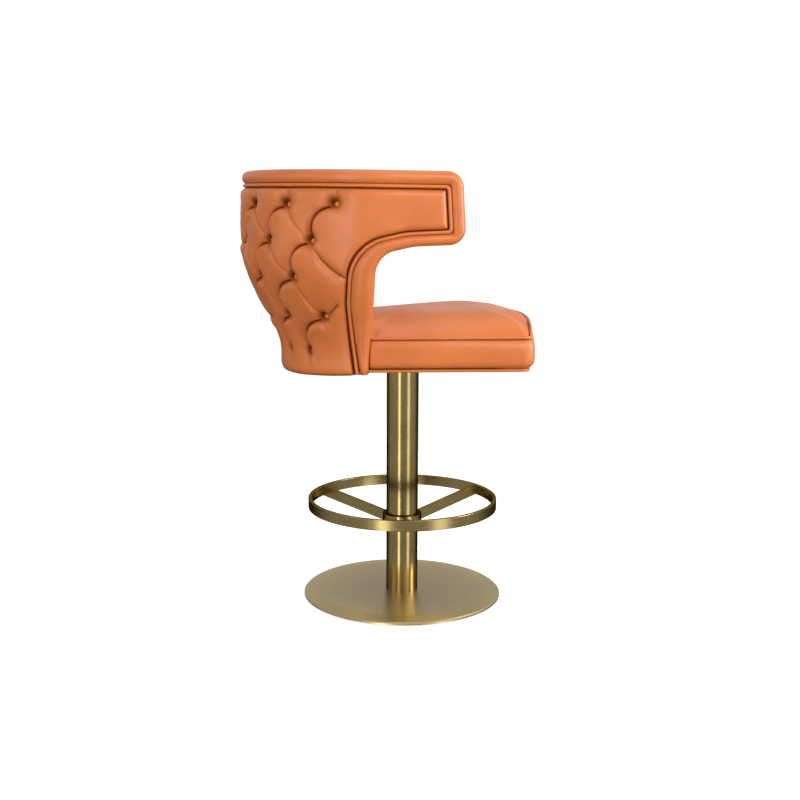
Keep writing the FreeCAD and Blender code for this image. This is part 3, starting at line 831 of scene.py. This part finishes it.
def make_inner_pad():
    border = FIELD[FIELD[:, 1] >= INNER_PAD_FOOT]
    coords, faces = lattice(border, border[[-1, 0]], 0.0045)
    from_seam = distance_to_line(coords, border)
    rise = 1 - np.exp(-from_seam / 0.014)
    belly = smooth((0.86 - coords[:, 1]) / 0.20) * smooth((0.42 - np.abs(coords[:, 0])) / 0.2)
    height = -0.0065 + 0.0135 * rise + 0.006 * belly
    here = back_points(*coords.T, BACK_DEPTH)
    normal = back_normals(*coords.T)
    wander = 0.0010 * value_noise(here, 18.0, 4.0)
    front = here - normal * (height + wander)[:, None]
    rear = back_points(*coords.T, 0.0305)
    pad = solid_panel("back_inner_cushion", faces, front, rear, TUFTED_HIDE)
    # Painted shade in a thin line along the inner cushion's seam.
    store_painted_shade(pad, 0.55 * np.exp(-(from_seam / 0.0016) ** 2))
    return pad


# ---------------------------------------------------------------- seat
SEAT_FRONT_HALF, SEAT_REAR_HALF = 0.225, 0.189
SEAT_FRONT, SEAT_BULGE = -0.238, 0.029
SEAT_CORNER = 0.018
SEAT_STEP = 0.103
SEAT_FOOT, SEAT_SEAM, SEAT_RISE = 0.5455, 0.6130, 0.0325
SEAT_CROWN_REAR, SEAT_CROWN = 0.6540, 0.6625
WELL_RADIUS, WELL_POINTS = 0.161, 60


def seat_outline(count=60):
    """Seat outline in plan, from the right rear corner round the front to the left one,
    and how far each point has gone into the bow of the front, 0 to 1."""
    chord = SEAT_FRONT_HALF - SEAT_CORNER
    bow_radius = (chord ** 2 + SEAT_BULGE ** 2) / (2 * SEAT_BULGE)
    bow_centre = np.array([0.0, SEAT_FRONT - SEAT_BULGE + bow_radius])
    rear = np.array([-SEAT_REAR_HALF, SEAT_STEP])
    along = unit(np.array([-SEAT_FRONT_HALF, SEAT_FRONT]) - rear)
    inwards = np.array([-along[1], along[0]])
    start = rear + inwards * SEAT_CORNER - bow_centre
    reach = start @ along
    spare = start @ start - (bow_radius - SEAT_CORNER) ** 2
    centre = bow_centre + start + along * (math.sqrt(reach ** 2 - spare) - reach)
    outwards = unit(centre - bow_centre)
    flank_end = centre - inwards * SEAT_CORNER
    flank = rear + (flank_end - rear) * np.linspace(0, 1, count)[:, None]
    first = math.atan2(-inwards[1], -inwards[0]) % (2 * math.pi)
    last = math.atan2(outwards[1], outwards[0]) % (2 * math.pi)
    turns = np.linspace(first, last, 14)[1:]
    corner = centre + SEAT_CORNER * np.stack([np.cos(turns), np.sin(turns)], -1)
    sweep = np.linspace(last, 1.5 * math.pi, count)[1:]
    front = bow_centre + bow_radius * np.stack([np.cos(sweep), np.sin(sweep)], -1)
    points = np.concatenate([flank, corner, front])
    bow = np.concatenate([np.zeros(len(flank) + len(corner)),
                          1 - np.abs(front[:, 0] / corner[-1, 0]) ** 3])
    mirrored = points[-2::-1] * np.array([-1.0, 1.0])
    return np.concatenate([points, mirrored]), np.concatenate([bow, bow[-2::-1]])


def inset_outline(points, inset):
    """Moves an open outline in towards the middle of the seat."""
    tangent = unit(np.gradient(points, axis=0))
    inward = np.stack([-tangent[:, 1], tangent[:, 0]], -1)
    moved = points + inward * inset
    moved[[0, -1], 1] = points[[0, -1], 1]
    return moved


def well_arc(radius, count=WELL_POINTS):
    """The cushion's round recess at the rear, in plan, where the back's shell stands."""
    start = math.asin((SEAT_STEP - FOOT_CENTRE) / radius)
    turns = np.linspace(start, math.pi - start, count)
    return np.stack([radius * np.cos(turns), FOOT_CENTRE + radius * np.sin(turns)], -1)


def crown_height(plan, seam_z, outline, well):
    """Height of the cushion's top over a point of its plan."""
    flank = len(outline) // 3
    from_flank = np.minimum(distance_to_line(plan, outline[:flank]),
                            distance_to_line(plan, outline[-flank:]))
    from_front = distance_to_line(plan, outline[flank:-flank])
    from_well = distance_to_line(plan, well)
    ridge = smooth((SEAT_STEP - plan[:, 1]) / 0.34)
    peak = SEAT_CROWN_REAR + (SEAT_CROWN - SEAT_CROWN_REAR) * ridge
    reach = 0.150 - 0.060 * smooth((0.10 - plan[:, 1]) / 0.20)
    rise = 1 - (1 - np.clip(from_flank / reach, 0, 1)) ** 2.7
    rise = rise * (1 - (1 - np.clip(from_front / 0.048, 0, 1)) ** 2.5)
    z = seam_z + (peak - seam_z) * rise
    return z - 0.018 * (1 - np.clip(from_well / 0.030, 0, 1)) ** 2


def make_seat_cushion():
    """Box cushion: leather boxing between two lines of piping, and a crowned top."""
    outline, bow = seat_outline()
    centre = np.array([0.0, -0.045])
    seam_z = SEAT_SEAM + SEAT_RISE * bow
    count = len(outline)

    def loop(inset, z_front, z_rear, well):
        ring = np.concatenate([inset_outline(outline, inset), well_arc(well)])
        z = np.concatenate([np.broadcast_to(z_front, count), np.full(WELL_POINTS, z_rear)])
        return np.column_stack([ring, z])

    rows = [loop(0.014, SEAT_FOOT, SEAT_FOOT, WELL_RADIUS - 0.010),
            loop(0.006, SEAT_FOOT + 0.002, SEAT_FOOT + 0.002, WELL_RADIUS - 0.002)]
    low, high = SEAT_FOOT + 0.004, seam_z - 0.002
    ahead = np.concatenate([smooth((-0.06 - outline[:, 1]) / 0.15), np.zeros(WELL_POINTS)])[:, None]
    for share in np.linspace(0, 1, 17):
        swell = 0.0075 * (1 - abs(2 * share - 1) ** (7 if share < 0.5 else 3))
        rear = low + (SEAT_SEAM + 0.016 - low) * share
        side = loop(0.0045 - swell, low + (high - low) * share, rear,
                    WELL_RADIUS + 0.008 * share)
        front = loop(0.0055 - 1.5 * swell, low + (high - low) * share, rear,
                     WELL_RADIUS + 0.008 * share)
        rows.append(side + (front - side) * ahead)
    rim = loop(0.0065, seam_z + 0.001, SEAT_SEAM + 0.020, WELL_RADIUS + 0.009)
    rows.append(rim)
    edge, well = rim[:count, :2], rim[count:, :2]
    for share in np.linspace(0, 1, 34)[1:-1] ** 1.35:
        plan = rim[:, :2] + (centre - rim[:, :2]) * share
        z = crown_height(plan, rim[:, 2], edge, well)
        rows.append(np.column_stack([plan, z]))
    grid = np.stack(rows)
    columns = grid.shape[1]
    top = crown_height(centre[None], np.array([SEAT_SEAM]), edge, well)[0]
    vertices = np.concatenate([grid.reshape(-1, 3), [[*centre, top]]])
    last = (len(rows) - 1) * columns
    faces = grid_faces(len(rows), columns, closed=True)
    faces += [[last + i, last + (i + 1) % columns, len(vertices) - 1] for i in range(columns)]
    faces.append(list(range(columns))[::-1])
    return face_outwards(mesh_object("seat_box_cushion", vertices, faces, TUFTED_HIDE))


def fill_out(piece, voxel, pressure, cap, held):
    """Lets the leather of a cushion settle over its filling, with a short cloth simulation.

    held gives the grip of the seams on each point, 1 where the leather cannot move. The
    settling is evened out afterwards, because the leather is stretched tight over foam.
    """
    scene = bpy.context.scene
    remesh = piece.modifiers.new("even_mesh", "REMESH")
    remesh.mode = "VOXEL"
    remesh.voxel_size = voxel
    graph = bpy.context.evaluated_depsgraph_get()
    even = bpy.data.meshes.new_from_object(piece.evaluated_get(graph))
    piece.modifiers.clear()
    piece.data = even
    rest = places(even)
    grip = held(rest)
    group = piece.vertex_groups.new(name="seams")
    for index, weight in enumerate(grip):
        if weight > 0.01:
            group.add([index], float(min(weight, 1.0)), "REPLACE")
    cloth = piece.modifiers.new("settle", "CLOTH")
    values = dict(quality=5, mass=0.35, tension_stiffness=25, compression_stiffness=25,
                  shear_stiffness=15, bending_stiffness=6, use_pressure=True,
                  uniform_pressure_force=pressure, vertex_group_mass="seams")
    for name, value in values.items():
        setattr(cloth.settings, name, value)
    cloth.settings.effector_weights.gravity = 0
    cloth.point_cache.frame_start, cloth.point_cache.frame_end = 1, 20
    for frame_number in range(1, 21):
        scene.frame_set(frame_number)
    graph = bpy.context.evaluated_depsgraph_get()
    shift = places(piece.evaluated_get(graph).to_mesh()) - rest
    piece.evaluated_get(graph).to_mesh_clear()
    length = norm(shift, axis=1, keepdims=True)
    shift *= np.minimum(1.0, cap / np.maximum(length, 1e-9))
    edges = np.empty(len(even.edges) * 2, dtype=int)
    even.edges.foreach_get("vertices", edges)
    edges = edges.reshape(-1, 2)
    for _ in range(30):
        total = np.zeros_like(shift)
        near = np.zeros((len(shift), 1))
        for a, b in ((0, 1), (1, 0)):
            np.add.at(total, edges[:, a], shift[edges[:, b]])
            np.add.at(near, edges[:, a], 1.0)
        shift = total / near
    piece.modifiers.clear()
    piece.vertex_groups.clear()
    scene.frame_set(1)
    even.vertices.foreach_set("co", (rest + shift).ravel())
    even.update()
    finer = piece.modifiers.new("smooth_cover", "SUBSURF")
    finer.levels = finer.render_levels = 1
    graph = bpy.context.evaluated_depsgraph_get()
    piece.data = bpy.data.meshes.new_from_object(piece.evaluated_get(graph))
    piece.modifiers.clear()
    shade_smooth(piece.data)


def beside_seam(points):
    """Distance in plan from the seat's outline, and depth below the upper piping."""
    outline, bow = seat_outline()
    flat = points[:, :2]
    place = np.argmin(norm(flat[:, None] - outline[None, ::3], axis=2), axis=1) * 3
    seam_z = SEAT_SEAM + SEAT_RISE * bow[np.minimum(place, len(bow) - 1)]
    return distance_to_line(flat, outline), seam_z - points[:, 2]


def seat_piping_shade(points):
    """Painted shade on the cushion's leather beside its two lines of piping; the lower line fades
    towards the front.
    """
    near, below = beside_seam(points)
    top = 0.85 * np.exp(-((below - 0.0030) / 0.0022) ** 2) * np.exp(-(near / 0.012) ** 2)
    foot = 0.75 * np.exp(-((points[:, 2] - SEAT_FOOT - 0.0035) / 0.0028) ** 2)
    fade = 1 - 0.8 * smooth((-0.14 - points[:, 1]) / 0.06)
    return np.maximum(top, foot * fade)


def cushion_grip(points):
    """The piping lines, the well and the underside hold the seat's leather."""
    seam = np.exp(-(np.hypot(*beside_seam(points)) / 0.012) ** 2)
    foot = smooth((SEAT_FOOT + 0.016 - points[:, 2]) / 0.010)
    rear = smooth((points[:, 1] - SEAT_STEP + 0.02) / 0.02)
    return np.clip(seam + foot + rear, 0, 1)


def make_seat_welt(name, z_side, z_front_rise, radius, inset):
    outline, bow = seat_outline(90)
    flat = inset_outline(outline, inset)
    line = np.column_stack([flat, z_side + z_front_rise * bow])
    line = soften(resample(line, 0.0035), 4)
    uprights = np.tile((0.0, 0.0, 1.0), (len(line), 1))
    return make_piping(name, line, uprights, radius, 0.012)


def make_dust_cover():
    """Thin black cloth stapled under the rails, with a round hole for the column."""
    outline, _ = seat_outline(24)
    outer = np.concatenate([inset_outline(outline, 0.011), well_arc(WELL_RADIUS + 0.001, 40)])
    angle = np.arctan2(outer[:, 1], outer[:, 0])
    inner = 0.060 * np.stack([np.cos(angle), np.sin(angle)], -1)
    rows = []
    for share in np.linspace(0, 1, 13):
        flat = inner + (outer - inner) * share
        sag = 0.0010 * math.sin(math.pi * share)
        rows.append(np.column_stack([flat, np.full(len(flat), 0.5453 - sag)]))
    sheet = grid_faces(len(rows), len(outer), closed=True)
    above = np.concatenate(rows)
    return solid_panel("seat_dust_cloth", sheet, above, above - (0, 0, 0.0005), CAMBRIC)


# ---------------------------------------------------------------- assembly
def place(piece, slot, node):
    """Fastens a piece to the seat's body in place of its CAD node."""
    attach(piece, "seat")
    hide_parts(node)
    return piece


def build():
    dress_cad_nodes()
    outer = place(make_outer_pad(), "tan_leather", "back_outer_pad")
    inner = place(make_inner_pad(), "tan_leather", "back_inner_pad")
    roll = place(make_border_roll(), "tan_leather", "back_border_roll")
    cushion = make_seat_cushion()
    fill_out(cushion, 0.005, 3.0, 0.005, cushion_grip)
    # Painted shade beside the seat's piping.
    store_painted_shade(cushion, seat_piping_shade(places(cushion.data)))
    place(cushion, "tan_leather", "seat_cushion")
    place(make_buttons(), "tan_leather", "tufting_buttons")
    for name, depth, node in (("back_welt_outside", WELT_DEPTH, "back_outer_welt"),
                              ("back_welt_inside", BACK_DEPTH - WELT_DEPTH, "back_inner_welt")):
        place(make_back_welt(name, depth), "leather_piping", node)
    for name, z, rise, radius, inset, node in (
            ("seat_welt_upper", SEAT_SEAM, SEAT_RISE, 0.0030, 0.0030, "seat_top_welt"),
            ("seat_welt_lower", SEAT_FOOT - 0.0010, 0.0, 0.0032, 0.0068, "seat_bottom_welt")):
        place(make_seat_welt(name, z, rise, radius, inset), "leather_piping", node)
    cover = place(make_dust_cover(), "black_fabric", "dust_cover")


build()


# ---------------------------------------------------------------- stage, lights and camera
def make_stage():
    s = Shader("studio_floor")
    tone = s.ramp(s.noise(2.0, 2.0), [(0.3, (0.86, 0.86, 0.86)), (0.7, (0.89, 0.89, 0.89))])
    s.feed(Base_Color=tone, Roughness=0.7, Emission_Color=(1.0, 1.0, 1.0, 1.0),
           Emission_Strength=0.55)
    reach, rise, bend, sides = 5.0, 6.0, 1.5, 96
    profile = [(0.02, 0.0), (reach - bend, 0.0)]
    for turn in np.linspace(0, math.pi / 2, 17)[1:]:
        profile.append((reach - bend + bend * math.sin(turn), bend - bend * math.cos(turn)))
    profile.append((reach, rise))
    turns = np.linspace(0, 2 * math.pi, sides, endpoint=False)
    grid = np.array([[(distance * math.cos(turn), distance * math.sin(turn), height)
                      for turn in turns] for distance, height in profile])
    faces = grid_faces(len(profile), sides, closed=True) + [list(range(sides))]
    floor = mesh_object("studio_sweep", grid.reshape(-1, 3), faces, s.material)
    floor.visible_diffuse = False
    floor.visible_glossy = False
    floor.visible_shadow = False


def area_light(name, location, aim_height, size, size_y, power):
    data = bpy.data.lights.new(name, "AREA")
    data.shape = "RECTANGLE"
    data.size, data.size_y = size, size_y
    data.energy = power
    light = add_object(name, data)
    light.location = location
    direction = Vector((0, 0, aim_height)) - Vector(location)
    light.rotation_euler = direction.to_track_quat("-Z", "Y").to_euler()


CAMERA_YAW = math.radians(10.0)
CAMERA_DISTANCE, CAMERA_HEIGHT = 2.556, 0.885
CAMERA_PITCH = 0.1683
CAMERA_AIM = 0.0288            # how far left of the column the camera points
CAMERA_SHIFT = 0.0375
CAMERA_LENS = 51.66


def make_camera():
    data = bpy.data.cameras.new("camera")
    data.lens = CAMERA_LENS
    data.sensor_width = 36.0
    data.shift_x = CAMERA_SHIFT
    data.clip_start, data.clip_end = 0.05, 50.0
    camera = add_object("camera", data)
    camera.location = (-CAMERA_DISTANCE * math.cos(CAMERA_YAW),
                       CAMERA_DISTANCE * math.sin(CAMERA_YAW), CAMERA_HEIGHT)
    heading = -CAMERA_YAW + CAMERA_AIM
    look = Vector((math.cos(heading) * math.cos(CAMERA_PITCH),
                   math.sin(heading) * math.cos(CAMERA_PITCH), -math.sin(CAMERA_PITCH)))
    camera.rotation_euler = look.to_track_quat("-Z", "Y").to_euler()
    bpy.context.scene.camera = camera


def make_world():
    """Soft room light: bright overhead, dimmer towards the floor, and a dark flag low down
    behind the stool, which the column's edges mirror."""
    world = bpy.data.worlds.new("studio")
    bpy.context.scene.world = world
    world.use_nodes = True
    sky = Nodes(world.node_tree)
    background = sky.tree.nodes["Background"]
    outwards = sky.coords.outputs["Generated"]
    split = sky.node("ShaderNodeSeparateXYZ")
    sky.link(outwards, split.inputs["Vector"])
    up = split.outputs["Z"]
    tones = [(0.0, (0.14,) * 3), (0.5, (0.56,) * 3), (1.0, (0.44,) * 3)]
    shade = sky.ramp(sky.span(up, 0.0, 1.0, -1.0, 1.0), tones)
    sky.link(shade, background.inputs["Color"])
    behind = sky.node("ShaderNodeVectorMath", operation="DOT_PRODUCT")
    behind.inputs[1].default_value = around_stool(180, 1.0, 0.0)
    sky.link(outwards, behind.inputs[0])
    flag = sky.node("ShaderNodeMath", operation="MULTIPLY")
    sky.link(sky.span(behind.outputs["Value"], 0.0, 1.0, 0.10, 0.70), flag.inputs[0])
    sky.link(sky.span(up, 0.0, 1.0, 0.02, -0.10), flag.inputs[1])
    sky.link(sky.span(flag.outputs["Value"], 1.0, 0.08), background.inputs["Strength"])


def around_stool(degrees_right, distance, height):
    """A place round the stool, by how far to the right of the camera it stands."""
    turn = math.pi - CAMERA_YAW + math.radians(degrees_right)
    return (distance * math.cos(turn), distance * math.sin(turn), height)


make_stage()
make_world()
area_light("key", around_stool(28, 2.4, 2.05), 0.65, 1.0, 1.0, 20)
area_light("fill", around_stool(-60, 2.4, 1.2), 0.6, 1.2, 1.6, 7)
area_light("top", (0.2, 0.1, 3.0), 0.6, 1.8, 1.8, 11)
area_light("rim", around_stool(80, 2.2, 1.25), 0.7, 0.6, 1.4, 38)
area_light("softbox_left", around_stool(-22, 2.3, 0.25), 0.25, 0.46, 3.6, 21)
area_light("softbox_right", around_stool(45, 2.3, 0.25), 0.25, 0.70, 3.6, 16)
make_camera()
bpy.context.scene.view_settings.view_transform = "Standard"
